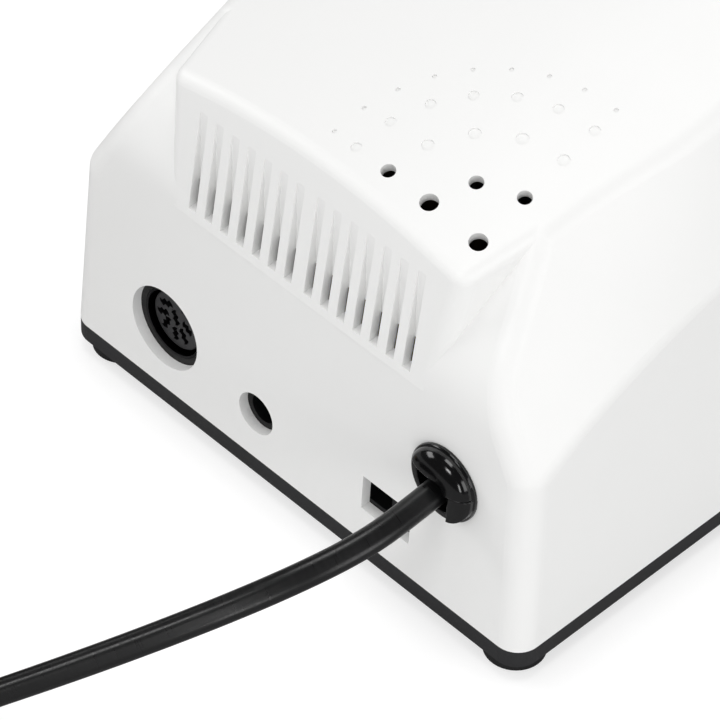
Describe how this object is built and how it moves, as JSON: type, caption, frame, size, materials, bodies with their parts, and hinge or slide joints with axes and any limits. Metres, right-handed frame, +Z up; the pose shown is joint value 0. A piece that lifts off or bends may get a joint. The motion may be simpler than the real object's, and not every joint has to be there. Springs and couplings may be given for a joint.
{
  "type": "nail drill machine",
  "caption": "Control box of a nail drill machine: moulded top housing on a base tray, rear vents, sockets and mains lead, speed knob and rockers on the sloping front.",
  "frame": {"origin": "middle of the underside of the box, on the table it stands on", "axes": "+Z up, +X to the right seen from the front, +Y towards the rear wall with the sockets and the mains lead"},
  "size_m": [0.1563, 0.301, 0.1065],
  "materials": {
    "shell_white": "satin moulded white",
    "base_charcoal": "fine moulded charcoal",
    "rubber_black": "matt black",
    "plastic_black": "black moulded",
    "panel_grey": "satin printed overlay, left plain",
    "knob_grey": "satin dark",
    "white_mark": "painted",
    "cord_black": "satin black sheath",
    "steel": "zinc plated",
    "nickel": "nickel plated",
    "brass": "plain",
    "laminations": "varnished steel sheet",
    "winding": "yellow taped winding",
    "aluminium": "extruded",
    "board_green": "solder resist",
    "part_black": "moulded",
    "nylon_white": "natural nylon",
    "can_sleeve": "shrunk sleeve",
    "glass": "clear",
    "lamp_red": "tinted lens"
  },
  "bodies": {
    "case": {"base_tray": "base_charcoal", "board_connectors": "nylon_white", "board_screws": "steel", "bridge_rectifier": "part_black", "case_screws": "steel", "circuit_board": "board_green", "coil_tie": "rubber_black", "control_chip": "part_black", "control_panel": "panel_grey", "cord_coil": "cord_black", "cord_tail": "cord_black", "din_contacts": "nickel", "din_insert": "plastic_black", "din_shield": "nickel", "din_socket_body": "plastic_black", "direction_switch": "plastic_black", "direction_terminals": "brass", "filter_capacitors": "can_sleeve", "foot_jack": "plastic_black", "fuse": "glass", "fuse_holder": "nylon_white", "handpiece_insert": "plastic_black", "handpiece_ring_nut": "nickel", "handpiece_socket": "plastic_black", "heat_sink": "aluminium", "jack_contact": "nickel", "lamp_holder": "plastic_black", "mode_switch": "plastic_black", "mode_terminals": "brass", "plug_blades": "brass", "plug_body": "cord_black", "potentiometer_nut": "steel", "power_cord": "cord_black", "power_lamp": "lamp_red", "power_switch": "plastic_black", "power_terminals": "brass", "power_transistor": "part_black", "relief_bushing": "plastic_black", "relief_hood": "plastic_black", "rubber_feet": "rubber_black", "speed_potentiometer": "steel", "terminal_block": "nylon_white", "top_housing": "shell_white", "transformer_core": "laminations", "transformer_pad": "part_black", "transformer_screws": "steel", "transformer_strap": "steel", "transformer_winding": "winding", "voltage_selector": "plastic_black"},
    "knob": {"speed_knob": "knob_grey", "knob_pointer": "white_mark", "speed_shaft": "aluminium"},
    "direction_key": {"direction_rocker": "plastic_black"},
    "mode_key": {"mode_rocker": "plastic_black"},
    "power_key": {"power_rocker": "plastic_black"},
    "voltage_key": {"selector_slider": "part_black"}
  },
  "joints": [
    {"name": "speed_turn", "type": "hinge", "parent": "case", "child": "knob", "pos_m": [0, -0.03426, 0.07571], "axis": [0, -0.7193, 0.6947], "range_deg": [-150, 150]},
    {"name": "direction_tilt", "type": "hinge", "parent": "case", "child": "direction_key", "pos_m": [-0.009, -0.05965, 0.0474], "axis": [1, 0, 0], "range_deg": [-6.5, 6.5]},
    {"name": "mode_tilt", "type": "hinge", "parent": "case", "child": "mode_key", "pos_m": [0.008, -0.05965, 0.0474], "axis": [1, 0, 0], "range_deg": [0, 13]},
    {"name": "power_tilt", "type": "hinge", "parent": "case", "child": "power_key", "pos_m": [0.027, -0.05965, 0.0474], "axis": [1, 0, 0], "range_deg": [0, 13]},
    {"name": "voltage_slide", "type": "slide", "parent": "case", "child": "voltage_key", "axis": [1, 0, 0], "range_m": [0, 0.005]}
  ]
}
